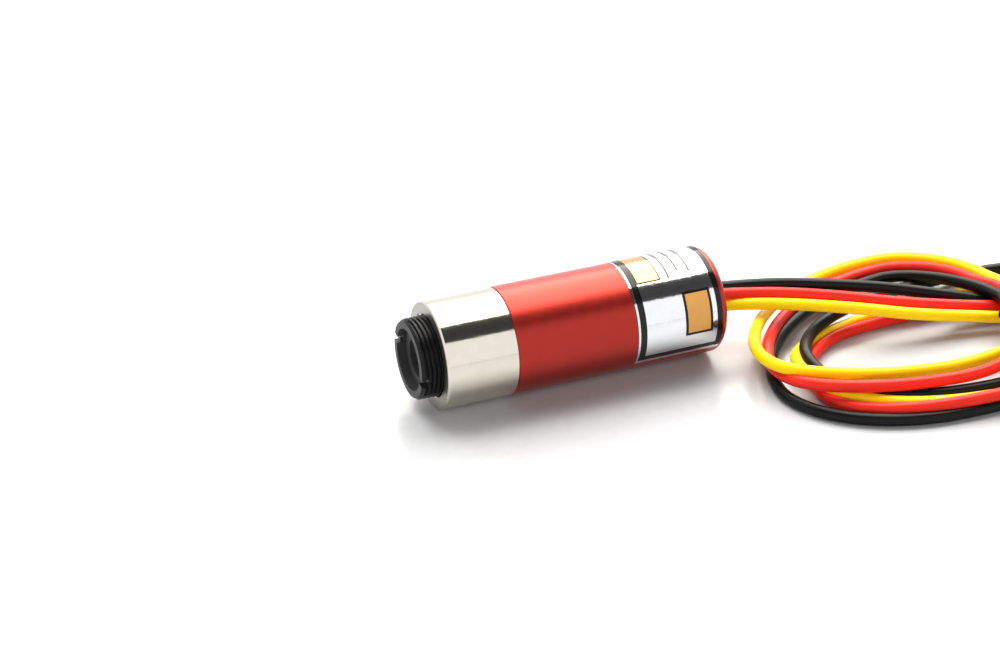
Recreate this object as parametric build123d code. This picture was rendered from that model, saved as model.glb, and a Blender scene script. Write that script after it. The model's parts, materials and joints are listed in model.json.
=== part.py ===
from build123d import *
import math
import os

# Laser diode module with a screw-in focusing lens, lying on its side with its leads coiled beside it.
# Millimetres. X runs along the beam axis: the beam leaves towards -X and the leads leave towards +X.
# Z is up, the barrel rests on Z = 0, and the origin is under the middle of the module.

# Barrel: a plated nose with a spigot that goes into the anodised rear tube
barrel_d = 12.0
nose_len = 8.2
tube_len = 25.1
tube_wall = 0.8
nose_wall = 1.5
rear_wall = 1.2
rear_round = 0.9
nose_chamfer = 0.2
seam_chamfer = 0.1
spigot_len = 4.0
glue_gap = 0.02
lead_hole_d = 5.0

# Focusing lens barrel, screwed into the nose
thread_depth = 6.0
thread_play = 0.04
focus_len = 5.85
focus_stickout = 2.35
focus_chamfer = 0.25
focus_wall = 1.18
rim_width = 1.01
recess_depth = 1.0
lens_lip = 1.08
lens_seat_depth = 2.95
slot_width = 0.9
slot_depth = 0.7
slot_tilt = 11.0

# Lens, its retaining ring and the spring behind the lens barrel
lens_edge = 1.0
lens_dome_inset = 0.1
lens_sag = 0.7
lens_play = 0.03
retainer_wall = 0.85
retainer_len = 1.2
spring_wire = 0.4
spring_turns = 2.5
spring_play = 0.02

# Diode package, pressed into the nose from behind
header_d = 5.6
header_t = 1.2
can_d = 3.55
can_len = 2.3
can_wall = 0.2
can_hole_gap = 0.4
window_hole_d = 1.6
window_rim = 0.5
window_t = 0.25
heatsink_len = 1.4
heatsink_width = 1.2
heatsink_height = 0.7
chip_len = 0.3
chip_width = 0.25
chip_t = 0.1
photodiode_side = 0.6
photodiode_t = 0.15
photodiode_rise = 0.35
pin_d = 0.45
pin_circle_d = 2.54
pin_len = 6.5
pin_angles = (30, 150, 270)
web_t = 1.6
clamp_d = 7.56
clamp_hole_d = 4.6
clamp_t = 1.5

# Driver board in its insulating sleeve
sleeve_t = 0.15
sleeve_end_gap = 0.1
board_gap = 2.5
board_end_gap = 2.7
board_t = 0.8
board_drop = 0.4
board_edge_gap = 0.05
solder_side = 1.1
solder_rise = 0.1

# Parts on the board, each with its length, width and height
driver_chip_size = (4.9, 3.9, 1.4)
chip_lead_pitch = 1.27
chip_leads_a_side = 4
chip_lead_width = 0.4
chip_lead_t = 0.2
chip_foot = 0.6
chip_standoff = 0.1
transistor_size = (2.9, 1.3, 1.0)
capacitor_size = (2.0, 1.25, 1.1)
resistor_size = (1.6, 0.8, 0.45)
resistor_offsets = ((-2.4, 0.0), (-0.8, 1.9), (-0.8, -1.9), (0.8, 0.4))
part_edge_gap = 0.4
front_part_gap = 1.2
rear_part_gap = 1.4
terminal_len = 0.3
terminal_step = 0.03

# Rear seal, round the leads
seal_len = 2.6
seal_recess = 0.25
seal_play = 0.02

# Foil label, wrapped round the tube with a gap underneath; angles run from +Y over the top to -Y
label_len = 10.2
label_rear_gap = 0.9
label_t = 0.06
label_glue = 0.01
label_far_end = -72.0
label_near_end = 213.0

# Leads: exit offsets from the axis are across (Y) and up (Z)
lead_d = 1.4
conductor_d = 0.5
conductor_len = 2.2
strip_gap = 0.3
straight_out = 4.0
tip_d = 0.9
tip_len = 4.0
lead_exits = {
    "black_lead": (1.35, 0.5),
    "red_lead": (-0.1, 0.3),
    "yellow_lead": (0.0, -1.25),
}
# Route points are measured along X from the rear face, and in Y and Z from the frame
lead_routes = {
    "black_lead": (
        (9.7, -0.7, 6.5), (17.7, -3.0, 5.5), (26.2, -5.2, 3.8), (34.7, -7.0, 1.9), (41.5, -10.0, 1.1),
    ),
    "red_lead": (
        (9.0, -2.4, 6.15), (17.2, -5.4, 5.3), (25.7, -7.3, 3.6), (34.7, -8.9, 1.7), (41.5, -12.2, 1.0),
    ),
    "yellow_lead": (
        (9.0, -2.6, 4.6), (17.2, -6.9, 4.1), (25.7, -9.6, 3.0), (34.2, -11.2, 1.6), (41.0, -14.4, 0.9),
    ),
}
lead_tails = {
    "black_lead": ((33.7, -3.0, 2.4), (33.5, -8.5, 3.8), (31.1, -13.2, 3.9)),
    "red_lead": ((35.2, -3.0, 2.4), (35.2, -8.5, 3.7), (33.0, -14.0, 3.8)),
    "yellow_lead": ((36.7, -3.0, 2.4), (36.9, -8.5, 3.6), (34.9, -14.5, 3.7)),
}
bend_share = 0.45

# Coil of the leads: an oval ring on the surface that the module lies on
coil_place = (25.0, -8.6)
coil_half_len = 23.3
coil_half_width = 17.2
coil_hole_half_len = 12.0
coil_hole_half_width = 6.0
coil_hole_shift = -1.0
coil_height = 2.9
coil_edge = 0.9

# Places along the axis, from the front of the lens barrel to the rear face
overall_len = focus_stickout + nose_len + tube_len
front_x = -overall_len / 2
nose_x = front_x + focus_stickout
seam_x = nose_x + nose_len
rear_x = seam_x + tube_len
web_x = nose_x + thread_depth
seat_x = web_x + web_t
clamp_x = seat_x + header_t
spigot_end_x = seam_x + spigot_len
focus_end_x = front_x + focus_len
lens_x = front_x + lens_seat_depth
lens_back_x = lens_x + lens_edge
pin_end_x = clamp_x + pin_len
rear_wall_x = rear_x - rear_wall
seal_x = rear_wall_x - seal_len
board_x = clamp_x + clamp_t + board_gap
board_end_x = seal_x - board_end_gap
conductor_x = board_end_x - conductor_len
driver_chip_x = (pin_end_x + conductor_x) / 2
lead_start_x = board_end_x + strip_gap
label_end_x = rear_x - label_rear_gap

# Radii, and heights above or below the axis
axis_z = barrel_d / 2
barrel_r = barrel_d / 2
tube_bore_r = barrel_r - tube_wall
spigot_r = tube_bore_r - glue_gap
thread_r = barrel_r - nose_wall
focus_r = thread_r - thread_play
recess_r = focus_r - rim_width
pocket_r = focus_r - focus_wall
aperture_r = pocket_r - lens_lip
lens_r = pocket_r - lens_play
retainer_bore_r = lens_r - retainer_wall
header_seat_r = header_d / 2 + glue_gap
clamp_bore_r = clamp_d / 2 + glue_gap
sleeve_r = tube_bore_r - glue_gap
sleeve_bore_r = sleeve_r - sleeve_t
board_top = board_t / 2 - board_drop
board_bottom = board_top - board_t
board_far_face = max(abs(board_top), abs(board_bottom))
board_half_width = math.sqrt((sleeve_bore_r - board_edge_gap)**2 - board_far_face**2)
lead_bore_r = lead_d / 2 + seal_play
pin_places = [
    (pin_circle_d / 2 * math.cos(math.radians(angle)), pin_circle_d / 2 * math.sin(math.radians(angle)))
    for angle in pin_angles
]


def on_axis(shape):
    """Lift a shape that was drawn about X up to the beam axis."""
    return Pos(0, 0, axis_z) * shape


def turned(corners):
    """Turned piece: (x, radius) corners revolved about the beam axis."""
    outline = Polyline([(x, 0, radius) for x, radius in corners], close=True)
    return on_axis(revolve(make_face(outline), Axis.X))


def rod(start_x, end_x, diameter, across=0.0, up=0.0):
    """Round bar along X, offset from the beam axis."""
    bar = Cylinder(diameter / 2, end_x - start_x, align=(Align.CENTER, Align.CENTER, Align.MIN))
    return on_axis(Pos(start_x, across, up) * Rot(0, 90, 0) * bar)


def block(start_x, size, across=0.0, base=0.0):
    """Rectangular block from start_x onwards, standing on a height measured from the beam axis."""
    return on_axis(Pos(start_x, across, base) * Box(*size, align=(Align.MIN, Align.CENTER, Align.MIN)))


def nose_barrel():
    return turned([
        (nose_x, thread_r + nose_chamfer),
        (nose_x, barrel_r - nose_chamfer),
        (nose_x + nose_chamfer, barrel_r),
        (seam_x - seam_chamfer, barrel_r),
        (seam_x, barrel_r - seam_chamfer),
        (seam_x, spigot_r),
        (spigot_end_x - seam_chamfer, spigot_r),
        (spigot_end_x, spigot_r - seam_chamfer),
        (spigot_end_x, clamp_bore_r),
        (clamp_x, clamp_bore_r),
        (clamp_x, header_seat_r),
        (seat_x, header_seat_r),
        (seat_x, can_d / 2 + can_hole_gap),
        (web_x, can_d / 2 + can_hole_gap),
        (web_x, thread_r),
        (nose_x + nose_chamfer, thread_r),
    ])


def rear_tube():
    shell = turned([
        (seam_x, tube_bore_r),
        (seam_x, barrel_r - seam_chamfer),
        (seam_x + seam_chamfer, barrel_r),
        (rear_x, barrel_r),
        (rear_x, lead_hole_d / 2),
        (rear_wall_x, lead_hole_d / 2),
        (rear_wall_x, tube_bore_r),
    ])
    rear_rims = shell.edges().filter_by(GeomType.CIRCLE).group_by(Axis.X)[-1]
    return fillet(rear_rims.sort_by(SortBy.RADIUS)[-1], rear_round)


def foil_label():
    outline = Polyline(
        (label_end_x - label_len, 0, barrel_r + label_glue),
        (label_end_x, 0, barrel_r + label_glue),
        (label_end_x, 0, barrel_r + label_glue + label_t),
        (label_end_x - label_len, 0, barrel_r + label_glue + label_t),
        close=True,
    )
    wrap = revolve(make_face(outline), Axis.X, revolution_arc=label_near_end - label_far_end)
    top_angle = 90
    return on_axis(Rot(label_far_end - top_angle, 0, 0) * wrap)


def focus_barrel():
    body = turned([
        (front_x, recess_r),
        (front_x, focus_r - focus_chamfer),
        (front_x + focus_chamfer, focus_r),
        (focus_end_x - focus_chamfer, focus_r),
        (focus_end_x, focus_r - focus_chamfer),
        (focus_end_x, pocket_r),
        (lens_x, pocket_r),
        (lens_x, aperture_r),
        (front_x + recess_depth, aperture_r),
        (front_x + recess_depth, recess_r),
    ])
    slot = Box(2 * slot_depth, barrel_d, slot_width)
    return body - on_axis(Pos(front_x, 0, 0) * Rot(slot_tilt, 0, 0) * slot)


def collimating_lens():
    dome_r = aperture_r - lens_dome_inset
    ball_r = (dome_r**2 + lens_sag**2) / (2 * lens_sag)
    half_rise = math.sqrt(ball_r**2 - dome_r**2 / 4) - (ball_r - lens_sag)
    seat = lens_x + lens_play
    dome = ThreePointArc((seat - lens_sag, 0, 0), (seat - half_rise, 0, dome_r / 2), (seat, 0, dome_r))
    rest = Polyline(
        (seat, 0, dome_r),
        (seat, 0, lens_r),
        (lens_back_x, 0, lens_r),
        (lens_back_x, 0, 0),
        (seat - lens_sag, 0, 0),
    )
    return on_axis(revolve(make_face([dome, rest]), Axis.X))


def lens_retainer():
    end_x = lens_back_x + retainer_len
    return turned([
        (lens_back_x, retainer_bore_r),
        (lens_back_x, lens_r),
        (end_x, lens_r),
        (end_x, retainer_bore_r + focus_chamfer),
        (end_x - focus_chamfer, retainer_bore_r),
    ])


def focus_spring():
    mean_r = (pocket_r + thread_r) / 2
    start_x = focus_end_x + spring_play + spring_wire / 2
    height = web_x - spring_play - spring_wire / 2 - start_x
    line = Helix(height / spring_turns, height, mean_r, center=(start_x, 0, 0), direction=(1, 0, 0))
    section = Plane(origin=line @ 0, x_dir=(1, 0, 0), z_dir=line % 0) * Rectangle(spring_wire, spring_wire)
    return on_axis(sweep(section, path=line, is_frenet=True))


def diode_header():
    return rod(seat_x, clamp_x, header_d)


def diode_can():
    start_x = seat_x - can_len
    return turned([
        (start_x, window_hole_d / 2),
        (start_x, can_d / 2),
        (seat_x, can_d / 2),
        (seat_x, can_d / 2 - can_wall),
        (start_x + can_wall, can_d / 2 - can_wall),
        (start_x + can_wall, window_hole_d / 2),
    ])


def diode_window():
    start_x = seat_x - can_len + can_wall
    return rod(start_x, start_x + window_t, window_hole_d + 2 * window_rim)


def diode_heatsink():
    size = (heatsink_len, heatsink_width, heatsink_height)
    return block(seat_x - heatsink_len, size, base=-chip_t / 2 - heatsink_height)


def laser_chip():
    return block(seat_x - heatsink_len, (chip_len, chip_width, chip_t), base=-chip_t / 2)


def monitor_photodiode():
    size = (photodiode_t, photodiode_side, photodiode_side)
    return block(seat_x - photodiode_t, size, base=photodiode_rise - photodiode_side / 2)


def diode_pins():
    return Compound([rod(clamp_x, pin_end_x, pin_d, across, up) for across, up in pin_places])


def diode_clamp_ring():
    end_x = clamp_x + clamp_t
    return turned([
        (clamp_x, clamp_hole_d / 2),
        (clamp_x, clamp_d / 2),
        (end_x - seam_chamfer, clamp_d / 2),
        (end_x, clamp_d / 2 - seam_chamfer),
        (end_x, clamp_hole_d / 2),
    ])


def insulating_sleeve():
    start_x = spigot_end_x + sleeve_end_gap
    end_x = seal_x - sleeve_end_gap
    return turned([(start_x, sleeve_bore_r), (start_x, sleeve_r), (end_x, sleeve_r), (end_x, sleeve_bore_r)])


def driver_board():
    return block(board_x, (board_end_x - board_x, 2 * board_half_width, board_t), base=board_bottom)


def gull_wing(side):
    """One chip lead, drawn in YZ as a bent strip from the chip's side down to the board."""
    half_width = driver_chip_size[1] / 2
    middle = chip_standoff + driver_chip_size[2] / 2
    bend = half_width + chip_foot
    strip = Polyline(
        (side * half_width, middle + chip_lead_t / 2),
        (side * bend, middle + chip_lead_t / 2),
        (side * bend, chip_lead_t),
        (side * (bend + chip_foot), chip_lead_t),
        (side * (bend + chip_foot), 0),
        (side * (bend - chip_lead_t), 0),
        (side * (bend - chip_lead_t), middle - chip_lead_t / 2),
        (side * half_width, middle - chip_lead_t / 2),
        close=True,
    )
    return extrude(Plane.YZ * make_face(strip), chip_lead_width / 2, both=True)


def driver_chip():
    length, width, height = driver_chip_size
    case = Box(length, width, height, align=(Align.CENTER, Align.CENTER, Align.MIN))
    body = Pos(0, 0, chip_standoff) * case
    for index in range(chip_leads_a_side):
        along = (index - (chip_leads_a_side - 1) / 2) * chip_lead_pitch
        body += Pos(along, 0, 0) * gull_wing(1)
        body += Pos(along, 0, 0) * gull_wing(-1)
    return on_axis(Pos(driver_chip_x, 0, board_top) * body)


def pass_transistor():
    length, width, _ = transistor_size
    across = board_half_width - part_edge_gap - width / 2
    return block(board_end_x - rear_part_gap - length, transistor_size, across, board_top)


def chip_parts(size, places, base):
    """Chip parts with metal ends that stand a little proud of the body, at their (start, across) places."""
    length, width, height = size
    end_size = (terminal_len, width, height)
    body_size = (length - 2 * terminal_len, width - 2 * terminal_step, height - terminal_step)
    parts = []
    for start_x, across in places:
        part = block(start_x, end_size, across, base)
        part += block(start_x + terminal_len, body_size, across, base)
        part += block(start_x + length - terminal_len, end_size, across, base)
        parts.append(part)
    return Compound(parts)


def chip_capacitors():
    length, width, _ = capacitor_size
    across = board_half_width - part_edge_gap - width / 2
    front = board_x + front_part_gap
    rear = board_end_x - rear_part_gap - length
    return chip_parts(capacitor_size, [(front, -across), (front, across), (rear, -across)], board_top)


def chip_resistors():
    places = [(driver_chip_x + along, across) for along, across in resistor_offsets]
    return chip_parts(resistor_size, places, board_bottom - resistor_size[2])


def solder_joint(along, across, up, wire_d):
    """Block of solder from the board's face up round a wire that runs along X."""
    if up > board_top:
        base = board_top
        height = up - board_top + wire_d / 2 + solder_rise
    else:
        base = up - wire_d / 2 - solder_rise
        height = board_bottom - base
    solder = block(along - solder_side / 2, (solder_side, solder_side, height), across, base)
    return solder - rod(along - solder_side, along + solder_side, wire_d, across, up)


def solder_joints():
    pin_along = (board_x + pin_end_x) / 2
    lead_along = (conductor_x + board_end_x) / 2
    joints = [solder_joint(pin_along, across, up, pin_d) for across, up in pin_places]
    joints += [solder_joint(lead_along, across, up, conductor_d) for across, up in lead_exits.values()]
    return Compound(joints)


def lead_conductors():
    return Compound([
        rod(conductor_x, lead_start_x, conductor_d, across, up) for across, up in lead_exits.values()
    ])


def rear_seal():
    seal = turned([
        (seal_x, 0),
        (seal_x, tube_bore_r - seal_play),
        (rear_wall_x - seal_play, tube_bore_r - seal_play),
        (rear_wall_x - seal_play, lead_hole_d / 2 - seal_play),
        (rear_x - seal_recess, lead_hole_d / 2 - seal_play),
        (rear_x - seal_recess, 0),
    ])
    for across, up in lead_exits.values():
        seal -= rod(seal_x - seal_len, rear_x, 2 * lead_bore_r, across, up)
    return seal


def lead_tube(points):
    """Tube along straight runs, joined by arcs as large as the two runs beside each point allow."""
    spots = [Vector(*point) for point in points]
    radii = []
    for before, here, after in zip(spots, spots[1:], spots[2:]):
        run_in = here - before
        run_out = after - here
        half_turn = math.radians(run_in.get_angle(run_out)) / 2
        radii.append(bend_share * min(run_in.length, run_out.length) / math.tan(half_turn))
    print("lead bend radii", [round(radius, 1) for radius in radii])
    line = FilletPolyline(*spots, radius=radii)
    section = Plane(origin=line @ 0, z_dir=line % 0) * Circle(lead_d / 2)
    tube = sweep(section, path=line)
    print("lead volume over section times length", round(tube.volume / (section.area * line.length), 4))
    return tube


def behind(points):
    """Points measured from the rear face, in the module's frame."""
    return [(rear_x + along, across, up) for along, across, up in points]


def lead(name):
    across, up = lead_exits[name]
    inside = rod(lead_start_x, rear_x, lead_d, across, up)
    way_out = [(0, across, axis_z + up), (straight_out, across, axis_z + up)]
    run = lead_tube(behind([*way_out, *lead_routes[name]]))
    tail = lead_tube(behind(lead_tails[name]))
    return Compound([inside + run, tail])


def lead_tips():
    tips = []
    for points in lead_tails.values():
        before, end = [Vector(*point) for point in behind(points)[-2:]]
        face = Plane(origin=end, z_dir=end - before)
        tips.append(extrude(face * Circle(tip_d / 2), tip_len))
    return Compound(tips)


def lead_coil():
    outer = Ellipse(coil_half_len, coil_half_width)
    hole = Pos(0, coil_hole_shift) * Ellipse(coil_hole_half_len, coil_hole_half_width)
    ring = extrude(outer - hole, coil_height)
    rims = ring.faces().filter_by(Axis.Z).edges()
    along, across = coil_place
    return Pos(rear_x + along, across, 0) * chamfer(rims, coil_edge)


pieces = {
    "nose_barrel": nose_barrel(),
    "rear_tube": rear_tube(),
    "foil_label": foil_label(),
    "focus_barrel": focus_barrel(),
    "collimating_lens": collimating_lens(),
    "lens_retainer": lens_retainer(),
    "focus_spring": focus_spring(),
    "diode_header": diode_header(),
    "diode_can": diode_can(),
    "diode_window": diode_window(),
    "diode_heatsink": diode_heatsink(),
    "laser_chip": laser_chip(),
    "monitor_photodiode": monitor_photodiode(),
    "diode_pins": diode_pins(),
    "diode_clamp_ring": diode_clamp_ring(),
    "insulating_sleeve": insulating_sleeve(),
    "driver_board": driver_board(),
    "driver_chip": driver_chip(),
    "pass_transistor": pass_transistor(),
    "chip_capacitors": chip_capacitors(),
    "chip_resistors": chip_resistors(),
    "solder_joints": solder_joints(),
    "lead_conductors": lead_conductors(),
    "rear_seal": rear_seal(),
    "black_lead": lead("black_lead"),
    "red_lead": lead("red_lead"),
    "yellow_lead": lead("yellow_lead"),
    "lead_tips": lead_tips(),
    "lead_coil": lead_coil(),
}

os.makedirs("parts", exist_ok=True)
for node, shape in pieces.items():
    export_step(shape, f"parts/{node}.step")
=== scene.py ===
import json
import math

import bmesh
import bpy
from mathutils import Matrix, Vector


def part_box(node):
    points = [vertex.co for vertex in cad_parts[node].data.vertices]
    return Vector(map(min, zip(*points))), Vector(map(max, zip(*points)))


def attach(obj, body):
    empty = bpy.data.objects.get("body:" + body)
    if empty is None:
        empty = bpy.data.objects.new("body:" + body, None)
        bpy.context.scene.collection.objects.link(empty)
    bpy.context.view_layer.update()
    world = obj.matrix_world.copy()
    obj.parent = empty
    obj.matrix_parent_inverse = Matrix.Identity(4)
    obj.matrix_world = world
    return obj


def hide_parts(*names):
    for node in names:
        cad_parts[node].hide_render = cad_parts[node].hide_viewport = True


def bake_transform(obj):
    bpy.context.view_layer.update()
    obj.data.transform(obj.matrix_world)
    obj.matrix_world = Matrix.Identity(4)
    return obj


MM = 0.001

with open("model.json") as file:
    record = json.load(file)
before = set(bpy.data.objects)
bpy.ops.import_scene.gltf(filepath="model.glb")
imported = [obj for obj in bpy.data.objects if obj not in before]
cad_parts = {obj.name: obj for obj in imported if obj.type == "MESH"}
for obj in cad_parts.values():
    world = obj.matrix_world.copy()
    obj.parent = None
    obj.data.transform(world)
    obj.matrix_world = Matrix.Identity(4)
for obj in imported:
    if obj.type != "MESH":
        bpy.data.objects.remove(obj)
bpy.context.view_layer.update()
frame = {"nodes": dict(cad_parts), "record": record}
nodes = frame["nodes"]
record = frame["record"]

AXIS_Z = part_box("rear_tube")[1].z / 2
REAR_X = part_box("rear_tube")[1].x
FRONT_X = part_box("focus_barrel")[0].x


# Materials

DRIFT_SCALE = 900.0
TINT_LOW = 0.93
TINT_HIGH = 1.04
ROUGH_LOW = 0.85
ROUGH_HIGH = 1.15
GRAIN_DEPTH = 0.02 * MM


def new_material(name, colour, roughness, metallic=0.0):
    """A material whose colour and roughness drift a little over the surface, by noise."""
    material = bpy.data.materials.new(name)
    material.use_nodes = True
    tree = material.node_tree
    shader = tree.nodes["Principled BSDF"]
    shader.inputs["Metallic"].default_value = metallic
    place = tree.nodes.new("ShaderNodeTexCoord")
    noise = tree.nodes.new("ShaderNodeTexNoise")
    noise.inputs["Scale"].default_value = DRIFT_SCALE
    noise.inputs["Detail"].default_value = 3.0
    tree.links.new(place.outputs["Object"], noise.inputs["Vector"])
    tint = tree.nodes.new("ShaderNodeValToRGB")
    tint.color_ramp.elements[0].color = (*[TINT_LOW * c for c in colour], 1.0)
    tint.color_ramp.elements[1].color = (*[min(1.0, TINT_HIGH * c) for c in colour], 1.0)
    tree.links.new(noise.outputs["Fac"], tint.inputs["Fac"])
    tree.links.new(tint.outputs["Color"], shader.inputs["Base Color"])
    rough = tree.nodes.new("ShaderNodeMapRange")
    rough.inputs["To Min"].default_value = ROUGH_LOW * roughness
    rough.inputs["To Max"].default_value = ROUGH_HIGH * roughness
    tree.links.new(noise.outputs["Fac"], rough.inputs["Value"])
    tree.links.new(rough.outputs["Result"], shader.inputs["Roughness"])
    return material


def add_grain(material, scale, strength):
    """Fine relief on a material's surface; scale in waves a metre."""
    tree = material.node_tree
    place = tree.nodes.new("ShaderNodeTexCoord")
    noise = tree.nodes.new("ShaderNodeTexNoise")
    noise.inputs["Scale"].default_value = scale
    noise.inputs["Detail"].default_value = 2.0
    bump = tree.nodes.new("ShaderNodeBump")
    bump.inputs["Strength"].default_value = strength
    bump.inputs["Distance"].default_value = GRAIN_DEPTH
    tree.links.new(place.outputs["Object"], noise.inputs["Vector"])
    tree.links.new(noise.outputs["Fac"], bump.inputs["Height"])
    tree.links.new(bump.outputs["Normal"], tree.nodes["Principled BSDF"].inputs["Normal"])


def set_shader(material, **values):
    """Sets the shader's own sockets; an underscore in a name stands for a space."""
    shader = material.node_tree.nodes["Principled BSDF"]
    for name, value in values.items():
        shader.inputs[name.replace("_", " ")].default_value = value


def turn_face(material, x_end, colour, roughness):
    """Gives the end face of a turned part, in front of x_end, a rougher finish than its plated sides, and a
    darker colour as painted shade.
    """
    tree = material.node_tree
    shader = tree.nodes["Principled BSDF"]
    place = tree.nodes.new("ShaderNodeTexCoord")
    axes = tree.nodes.new("ShaderNodeSeparateXYZ")
    front = tree.nodes.new("ShaderNodeMath")
    front.operation = "LESS_THAN"
    front.inputs[1].default_value = x_end
    tree.links.new(place.outputs["Object"], axes.inputs["Vector"])
    tree.links.new(axes.outputs["X"], front.inputs[0])
    for socket, value in (("Base Color", (*colour, 1.0)), ("Roughness", roughness)):
        mix = tree.nodes.new("ShaderNodeMix")
        mix.data_type = "RGBA" if socket == "Base Color" else "FLOAT"
        first, second, result = (6, 7, 2) if socket == "Base Color" else (2, 3, 0)
        mix.inputs[second].default_value = value
        tree.links.new(front.outputs["Value"], mix.inputs["Factor"])
        tree.links.new(shader.inputs[socket].links[0].from_socket, mix.inputs[first])
        tree.links.new(mix.outputs[result], shader.inputs[socket])


METALS = ("chrome", "aluminium", "brushed_steel", "brass")
METAL_ROUGHNESS = 0.3
PLAIN_ROUGHNESS = 0.45
FACE_DEPTH = 0.05 * MM

looks = {}
for entry in record["materials"]:
    metal = entry["class"] in METALS
    roughness = METAL_ROUGHNESS if metal else PLAIN_ROUGHNESS
    looks[entry["slot"]] = new_material(entry["slot"], entry["base_color"], roughness, float(metal))
looks["nickel_plate"] = new_material("nickel_plate", (0.70, 0.66, 0.575), 0.11, 1.0)
add_grain(looks["nickel_plate"], 2500.0, 0.25)
# The nose's end face is painted darker as painted shade, and made rougher
turn_face(looks["nickel_plate"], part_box("nose_barrel")[0].x + FACE_DEPTH, (0.43, 0.41, 0.375), 0.35)
looks["red_anodise"] = new_material("red_anodise", (0.39, 0.017, 0.009), 0.33, 0.85)
set_shader(looks["red_anodise"], Coat_Weight=0.3, Coat_Roughness=0.28)
add_grain(looks["red_anodise"], 6000.0, 0.4)
looks["black_anodise"] = new_material("black_anodise", (0.006, 0.006, 0.007), 0.36)
set_shader(looks["black_anodise"], Specular_IOR_Level=0.18)
add_grain(looks["black_anodise"], 5000.0, 0.15)
looks["label_foil"] = new_material("label_foil", (0.80, 0.81, 0.83), 0.10, 1.0)
add_grain(looks["label_foil"], 1800.0, 0.5)
looks["lens_glass"] = new_material("lens_glass", (0.90, 0.92, 0.93), 0.03)
set_shader(looks["lens_glass"], Transmission_Weight=0.9, IOR=1.52)
looks["black_pvc"] = new_material("black_pvc", (0.004, 0.004, 0.004), 0.32)
looks["red_pvc"] = new_material("red_pvc", (0.80, 0.022, 0.012), 0.30)
looks["yellow_pvc"] = new_material("yellow_pvc", (0.98, 0.68, 0.0006), 0.30)
for colour in ("black", "red", "yellow"):
    set_shader(looks[f"{colour}_pvc"], Specular_IOR_Level=0.16)
print_black = new_material("print_black", (0.006, 0.006, 0.007), 0.16)
set_shader(print_black, Specular_IOR_Level=0.28)
print_amber = new_material("print_amber", (0.74, 0.36, 0.08), 0.30, 0.2)
print_orange = new_material("print_orange", (0.62, 0.33, 0.15), 0.16, 0.75)
print_grey = new_material("print_grey", (0.10, 0.10, 0.105), 0.45)

for entry in record["subparts"]:
    mesh = nodes[entry["node"]].data
    mesh.materials.clear()
    mesh.materials.append(looks[entry["material_slot"]])


def add_piece(name, mesh, material):
    piece = bpy.data.objects.new(name, mesh)
    bpy.context.scene.collection.objects.link(piece)
    mesh.materials.append(material)
    return piece
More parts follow.
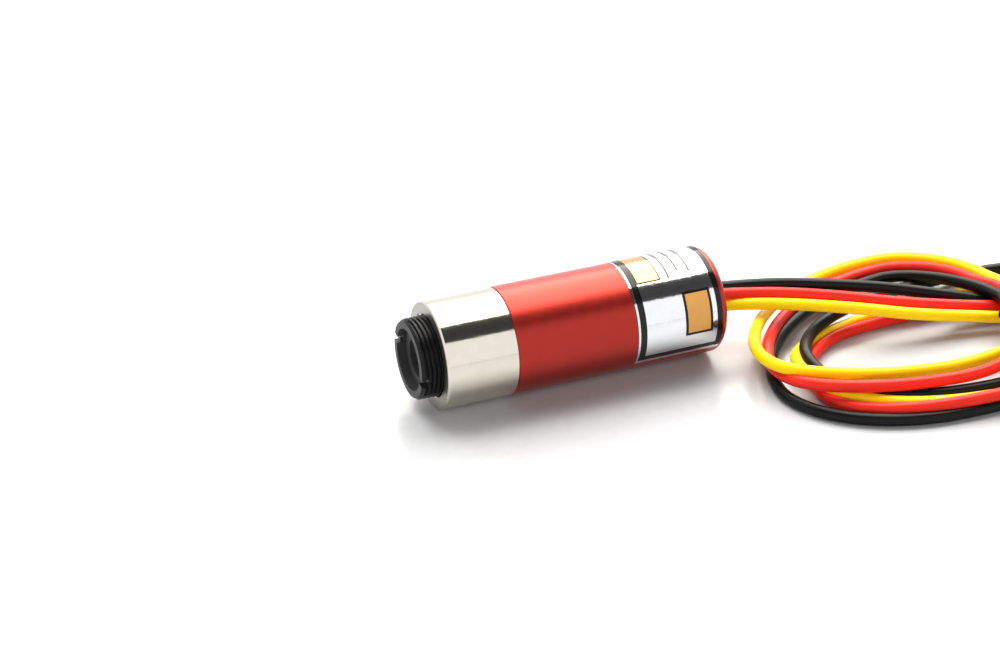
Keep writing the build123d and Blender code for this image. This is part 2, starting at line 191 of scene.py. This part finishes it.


# Leads: each runs from the rear hole into two loose turns and ends in a short tail.
# Route points are (distance behind the rear face, Y, Z) in mm.
# A station of the turns is (side, distance, Y, Z, squareness, lift): the lead runs along X on the near and
# far sides and along Y at the left and right ones. The last two shape the bend that follows the station.
LEAD_D = 1.4 * MM
TURN_STEPS = 6
ALONG_X = ("near", "far")
LEADS = {
    "black": {
        "run": [
            (0.0, 1.35, 6.5), (2.2, 1.55, 6.0), (5.8, 1.3, 5.7), (10.2, -0.25, 5.8),
            (15.8, -2.4, 5.5), (21.5, -3.7, 4.6), (29.0, -5.6, 2.9),
        ],
        "turns": [
            ("far", 36.5, -7.0, 0.9, 2.0, 0.0), ("right", 44.5, -15.0, 0.8, 2.0, 1.0),
            ("near", 36.0, -21.5, 2.1, 2.0, 0.0), ("near", 25.0, -21.5, 0.8, 2.4, 0.0),
            ("left", 7.5, -11.0, 1.9, 2.0, 0.5), ("far", 37.0, 1.5, 0.7, 2.0, 0.0),
            ("right", 48.5, -6.0, 0.8, 2.4, 0.0), ("near", 32.0, -25.0, 0.7, 2.0, 0.0),
            ("near", 20.0, -25.0, 0.7, 2.0, 0.0), ("left", 2.5, -13.5, 0.7, 1.8, 0.0),
            ("far", 24.0, 3.0, 1.7, 1.6, 0.0),
        ],
        "tail": [(33.5, -7.5, 3.3), (33.5, -10.0, 3.8), (31.1, -13.2, 3.9)],
        "length": 0.260,
    },
    "red": {
        "run": [
            (0.0, -0.1, 6.3), (2.0, 0.2, 5.9), (5.5, 0.0, 5.4), (9.6, -1.45, 5.3),
            (15.0, -4.05, 5.05), (20.5, -6.1, 4.2), (28.0, -7.3, 2.7),
        ],
        "turns": [
            ("far", 36.0, -8.5, 1.5, 2.0, 0.0), ("right", 43.0, -16.0, 0.7, 2.0, 0.0),
            ("near", 34.5, -23.5, 1.6, 2.0, 0.0), ("near", 27.0, -25.0, 2.1, 2.2, 0.0),
            ("left", 6.5, -16.0, 0.7, 2.2, 0.0), ("far", 19.5, -4.5, 0.7, 2.0, 0.0),
            ("far", 34.0, -4.5, 1.2, 2.0, 0.0), ("right", 40.0, -10.0, 2.8, 2.0, 1.0),
            ("near", 23.0, -20.5, 2.0, 2.8, 1.0), ("left", 3.0, -11.0, 2.0, 1.7, 0.0),
            ("far", 24.5, 5.0, 1.7, 1.8, 0.0),
        ],
        "tail": [(33.5, -3.0, 2.7), (35.5, -8.5, 3.7), (33.0, -14.0, 3.8)],
        "length": 0.236,
    },
    "yellow": {
        "run": [
            (0.0, 0.0, 4.75), (2.2, -0.1, 4.65), (6.2, -1.4, 4.62), (10.3, -3.45, 4.68),
            (16.5, -6.05, 4.2), (22.0, -8.05, 3.3), (29.0, -9.2, 2.1),
        ],
        "turns": [
            ("far", 35.5, -11.0, 1.4, 2.0, 0.0), ("right", 41.5, -16.5, 0.7, 2.0, 0.0),
            ("near", 35.0, -22.0, 0.7, 2.0, 0.0), ("near", 26.0, -23.5, 0.8, 2.2, 0.0),
            ("left", 6.0, -12.5, 1.9, 2.4, -0.5), ("far", 28.5, -2.5, 0.7, 2.2, 0.0),
            ("right", 42.0, -9.0, 2.6, 2.2, 0.0), ("near", 22.5, -17.0, 1.2, 2.8, 1.0),
            ("left", 2.0, -9.5, 3.2, 1.7, 0.0), ("far", 25.5, 7.0, 1.8, 1.8, 0.0),
        ],
        "tail": [(35.5, -3.0, 2.7), (36.5, -8.5, 3.6), (34.9, -14.5, 3.7)],
        "length": 0.238,
    },
}


def bend(start, end):
    """Route points after one station up to the next: a quarter turn, or an S where both run one way."""
    side, x0, y0, z0, squareness, lift = start
    points = []
    for step in range(1, TURN_STEPS + 1):
        share = step / TURN_STEPS
        angle = math.pi / 2 * share
        ahead = math.sin(angle) ** (2 / squareness)
        aside = 1 - abs(math.cos(angle)) ** (2 / squareness)
        if (side in ALONG_X) == (end[0] in ALONG_X):
            ahead, aside = share, math.sin(angle) ** 2
        share_x, share_y = (ahead, aside) if side in ALONG_X else (aside, ahead)
        z = z0 + (end[3] - z0) * share + lift * math.sin(2 * angle)
        points.append((x0 + (end[1] - x0) * share_x, y0 + (end[2] - y0) * share_y, z))
    return points


def lead_route(lead):
    stations = [*lead["turns"], ("right", *lead["tail"][0])]
    route = [*lead["run"], stations[0][1:4]]
    for start, end in zip(stations, stations[1:]):
        route += bend(start, end)
    route += lead["tail"][1:]
    return [Vector(point) * MM + Vector((REAR_X, 0, 0)) for point in route]


for colour, lead in LEADS.items():
    route = lead_route(lead)
    curve = bpy.data.curves.new(f"{colour}_cord", "CURVE")
    curve.dimensions = "3D"
    curve.bevel_depth = LEAD_D / 2
    curve.bevel_resolution = 5
    curve.resolution_u = 6
    curve.use_fill_caps = True
    spline = curve.splines.new("NURBS")
    spline.points.add(len(route) - 1)
    for point, place in zip(spline.points, route):
        point.co = (*place, 1.0)
    spline.order_u = 3
    spline.use_endpoint_u = True
    cord = add_piece(f"{colour}_cord", curve, looks[f"{colour}_pvc"])
    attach(cord, "housing")
    if colour == "black":
        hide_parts("black_lead", "lead_coil")
    else:
        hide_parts(f"{colour}_lead")


# Lens barrel with its fine thread

PITCH = 0.5 * MM
THREAD_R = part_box("focus_barrel")[1].y
THREAD_DEPTH = 0.28 * MM
FLANK_SLOPE = 2.4
CREST_WIDTH = 0.7
AROUND = 144
PER_PITCH = 10
CHAMFER = 0.25 * MM
RECESS_R = 3.45 * MM
RECESS_DEPTH = 1.0 * MM
APERTURE_R = 2.2 * MM
POCKET_R = 3.28 * MM
LENS_SEAT_DEPTH = 2.95 * MM
INNER_BANDS = 3
SLOT_WIDTH = 0.9 * MM
SLOT_DEPTH = 0.7 * MM
SLOT_REACH = 12 * MM
SLOT_TILT = 11.0


def thread_radius(x, angle):
    """Radius of the thread at a place: flat crests, flat roots and sloping flanks."""
    phase = (x / PITCH - angle / (2 * math.pi)) % 1.0
    height = min(1.0, max(0.0, FLANK_SLOPE * abs(2 * phase - 1) - CREST_WIDTH))
    return THREAD_R - THREAD_DEPTH * height


def barrel_mesh():
    """The lens barrel, turned round its axis: aperture, recess, rim, thread and lens pocket in turn."""
    end_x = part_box("focus_barrel")[1].x
    recess_x = FRONT_X + RECESS_DEPTH
    lens_x = FRONT_X + LENS_SEAT_DEPTH
    thread_x = FRONT_X + CHAMFER
    thread_len = end_x - FRONT_X - CHAMFER
    rows = [(lens_x, APERTURE_R), (recess_x, APERTURE_R), (recess_x, RECESS_R)]
    rows += [(FRONT_X, RECESS_R), (FRONT_X, THREAD_R - CHAMFER)]
    count = round(thread_len / PITCH * PER_PITCH)
    rows += [(thread_x + k * thread_len / count, None) for k in range(count + 1)]
    rows += [(end_x, POCKET_R), (lens_x, POCKET_R)]
    bm = bmesh.new()
    rings = []
    for x, radius in rows:
        ring = []
        for k in range(AROUND):
            angle = 2 * math.pi * k / AROUND
            r = thread_radius(x, angle) if radius is None else radius
            ring.append(bm.verts.new((x, r * math.cos(angle), AXIS_Z + r * math.sin(angle))))
        rings.append(ring)
    for band, (one, other) in enumerate(zip(rings, rings[1:] + rings[:1])):
        for k in range(AROUND):
            face = bm.faces.new((one[k], one[(k + 1) % AROUND], other[(k + 1) % AROUND], other[k]))
            # the recess and aperture walls take the second material, a black painted lighter as painted
            # light
            face.material_index = int(band < INNER_BANDS)
    bmesh.ops.recalc_face_normals(bm, faces=bm.faces)
    mesh = bpy.data.meshes.new("lens_barrel")
    bm.to_mesh(mesh)
    bm.free()
    return mesh


barrel = add_piece("lens_barrel", barrel_mesh(), looks["black_anodise"])
# Matte black for the recess and aperture walls, painted five times lighter than the anodise as painted light
# from the front
barrel.data.materials.append(new_material("barrel_matte_painted_light", (0.030, 0.030, 0.032), 0.55))
slot_turn = (math.radians(SLOT_TILT), 0, 0)
bpy.ops.mesh.primitive_cube_add(size=1.0, location=(FRONT_X, 0, AXIS_Z), rotation=slot_turn)
cutter = bpy.context.object
cutter.scale = (2 * SLOT_DEPTH, SLOT_REACH, SLOT_WIDTH)
cut = barrel.modifiers.new("slots", "BOOLEAN")
cut.object = cutter
cut.solver = "EXACT"
bpy.context.view_layer.update()
slotted = bpy.data.meshes.new_from_object(barrel.evaluated_get(bpy.context.evaluated_depsgraph_get()))
barrel.modifiers.clear()
barrel.data = slotted
bpy.data.objects.remove(cutter)
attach(barrel, "focus_screw")
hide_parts("focus_barrel")


# Focusing spring, copied from the CAD part where it stands

spring_mesh = nodes["focus_spring"].data.copy()
spring_mesh.materials.clear()
spring = add_piece("spring_coil", spring_mesh, looks["spring_steel"])
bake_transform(spring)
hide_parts("focus_spring")


# Print on the label: a black frame, plain colour fields and rules; angles run from +Y over the top

LABEL_T = 0.07 * MM
LABEL_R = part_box("rear_tube")[1].y + LABEL_T
LABEL_X0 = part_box("foil_label")[0].x
PRINT_T = 0.015 * MM
PATCH_STEP = 3


def add_patch(bm, x0, x1, angle0, angle1, lift):
    """A thin curved plate on the label, from x0 to x1 behind its front edge in mm."""
    steps = max(2, round(abs(angle1 - angle0) / PATCH_STEP))
    low = LABEL_R + (lift - 1) * PRINT_T
    high = LABEL_R + lift * PRINT_T
    rings = []
    for k in range(steps + 1):
        angle = math.radians(angle0 + (angle1 - angle0) * k / steps)
        corners = []
        for x, r in ((x0, low), (x1, low), (x1, high), (x0, high)):
            corner = (LABEL_X0 + x * MM, r * math.cos(angle), AXIS_Z + r * math.sin(angle))
            corners.append(bm.verts.new(corner))
        rings.append(corners)
    for one, other in zip(rings, rings[1:]):
        for k in range(4):
            bm.faces.new((one[k], one[(k + 1) % 4], other[(k + 1) % 4], other[k]))
    bm.faces.new(rings[0])
    bm.faces.new(rings[-1])


def add_print(name, material, patches, lift):
    """One colour of the label's print; a patch is (x0, x1, angle0, angle1) in mm and degrees."""
    bm = bmesh.new()
    for patch in patches:
        add_patch(bm, *patch, lift)
    bmesh.ops.recalc_face_normals(bm, faces=bm.faces)
    mesh = bpy.data.meshes.new(name)
    bm.to_mesh(mesh)
    bm.free()
    piece = add_piece(name, mesh, material)
    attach(piece, "housing")


add_print("label_frame", print_black, [
    (0.25, 1.0, -67.5, 208.5),
    (9.55, 10.2, -67.5, 208.5),
    (1.0, 9.55, 202.0, 208.5),
    (1.0, 9.55, -67.5, -61.0),
    (1.0, 3.95, 56.0, 119.5),
    (5.7, 9.0, 137.0, 185.0),
], 1)
add_print("label_header", print_orange, [(1.15, 3.75, 56.0, 117.5)], 2)
add_print("label_field", print_amber, [(6.0, 8.7, 140.0, 182.0)], 2)
add_print("label_rules", print_grey, [
    (4.75, 5.05, 62.0, 119.0),
    (6.05, 6.35, 62.0, 112.0),
    (7.35, 7.65, 62.0, 115.0),
], 1)


# Floor, lights and camera

FLOOR_SIZE = 4.0
FLOOR_DROP = 0.02 * MM
KEY_PLACE = (0.06, 0.265, 0.42)
KEY_TARGET = (0.02, 0, 0)
KEY_SIZE = (0.8, 0.42)
KEY_POWER = 6.0
ARC_R = 0.36
ARC_STEPS = 10
CARD_ANGLES = (49.5, 85)
CARD_SPAN = (-0.5, 0.8)
GLOW_ANGLES = (86, 154)
GLOW_SPAN = (-0.02, 0.42)
GLOW_COLOUR = (1.0, 0.94, 0.82, 1.0)
GLOW_STRENGTH = 6.5
WORLD_LIGHT = 1.2
WORLD_SEEN = 1.0

bpy.ops.mesh.primitive_plane_add(size=FLOOR_SIZE, location=(0, 0, -FLOOR_DROP))
floor = bpy.context.object
floor.name = "floor"
white = new_material("floor_white", (0.56, 0.56, 0.56), 0.22)
set_shader(white, Specular_IOR_Level=0.25)
floor.data.materials.append(white)


def add_area(name, place, target, size, power):
    data = bpy.data.lights.new(name, "AREA")
    data.shape = "RECTANGLE"
    data.size, data.size_y = size
    data.energy = power
    light = bpy.data.objects.new(name, data)
    light.location = place
    light.rotation_euler = (Vector(place) - Vector(target)).to_track_quat("Z", "Y").to_euler()
    bpy.context.scene.collection.objects.link(light)
    return light


key = add_area("softbox", KEY_PLACE, KEY_TARGET, KEY_SIZE, KEY_POWER)
key.visible_glossy = False


def add_arc(name, material, angles, span):
    """A sheet bent round the X axis over the module: degrees up from the camera's side, and span along X."""
    low, high = angles
    bm = bmesh.new()
    rings = []
    for k in range(ARC_STEPS + 1):
        angle = math.radians(low + (high - low) * k / ARC_STEPS)
        y, z = -ARC_R * math.cos(angle), ARC_R * math.sin(angle)
        rings.append([bm.verts.new((x, y, z)) for x in span])
    for one, other in zip(rings, rings[1:]):
        bm.faces.new((one[0], one[1], other[1], other[0]))
    mesh = bpy.data.meshes.new(name)
    bm.to_mesh(mesh)
    bm.free()
    sheet = add_piece(name, mesh, material)
    sheet.visible_camera = False
    sheet.visible_transmission = False
    return sheet


# The dark card keeps light off the upper front, and the glow is the softbox as reflections show it
card_black = new_material("card_black", (0.02, 0.02, 0.022), 0.9)
card = add_arc("dark_card", card_black, CARD_ANGLES, CARD_SPAN)
glow_white = new_material("glow_white", (0.9, 0.9, 0.9), 0.9)
set_shader(glow_white, Emission_Color=GLOW_COLOUR, Emission_Strength=GLOW_STRENGTH)
glow = add_arc("glow", glow_white, GLOW_ANGLES, GLOW_SPAN)
glow.visible_diffuse = False
glow.visible_shadow = False

scene = bpy.context.scene
world = bpy.data.worlds.new("studio")
world.use_nodes = True
scene.world = world
tree = world.node_tree
background = tree.nodes["Background"]
background.inputs["Color"].default_value = (1.0, 1.0, 1.0, 1.0)
path = tree.nodes.new("ShaderNodeLightPath")
level = tree.nodes.new("ShaderNodeMapRange")
level.inputs["To Min"].default_value = WORLD_LIGHT
level.inputs["To Max"].default_value = WORLD_SEEN
tree.links.new(path.outputs["Is Camera Ray"], level.inputs["Value"])
tree.links.new(level.outputs["Result"], background.inputs["Strength"])

# The camera stands where it was fitted to the circles of the barrel in the photo
SENSOR_MM = 36.0
FOCAL_MM = 85.02
NEAR_CLIP = 0.01
CAMERA_PLACE = Vector((-0.091628, -0.204835, 0.136393))
CAMERA_RIGHT = Vector((0.92434, -0.38156, -0.0005))
CAMERA_BACK = Vector((-0.32920, -0.79814, 0.50459))

scene.view_settings.view_transform = "Standard"
camera_data = bpy.data.cameras.new("camera")
camera_data.sensor_width = SENSOR_MM
camera_data.lens = FOCAL_MM
camera_data.clip_start = NEAR_CLIP
camera = bpy.data.objects.new("camera", camera_data)
scene.collection.objects.link(camera)
back = CAMERA_BACK.normalized()
up = back.cross(CAMERA_RIGHT).normalized()
right = up.cross(back)
camera.matrix_world = Matrix((
    (right.x, up.x, back.x, CAMERA_PLACE.x),
    (right.y, up.y, back.y, CAMERA_PLACE.y),
    (right.z, up.z, back.z, CAMERA_PLACE.z),
    (0, 0, 0, 1),
))
scene.camera = camera
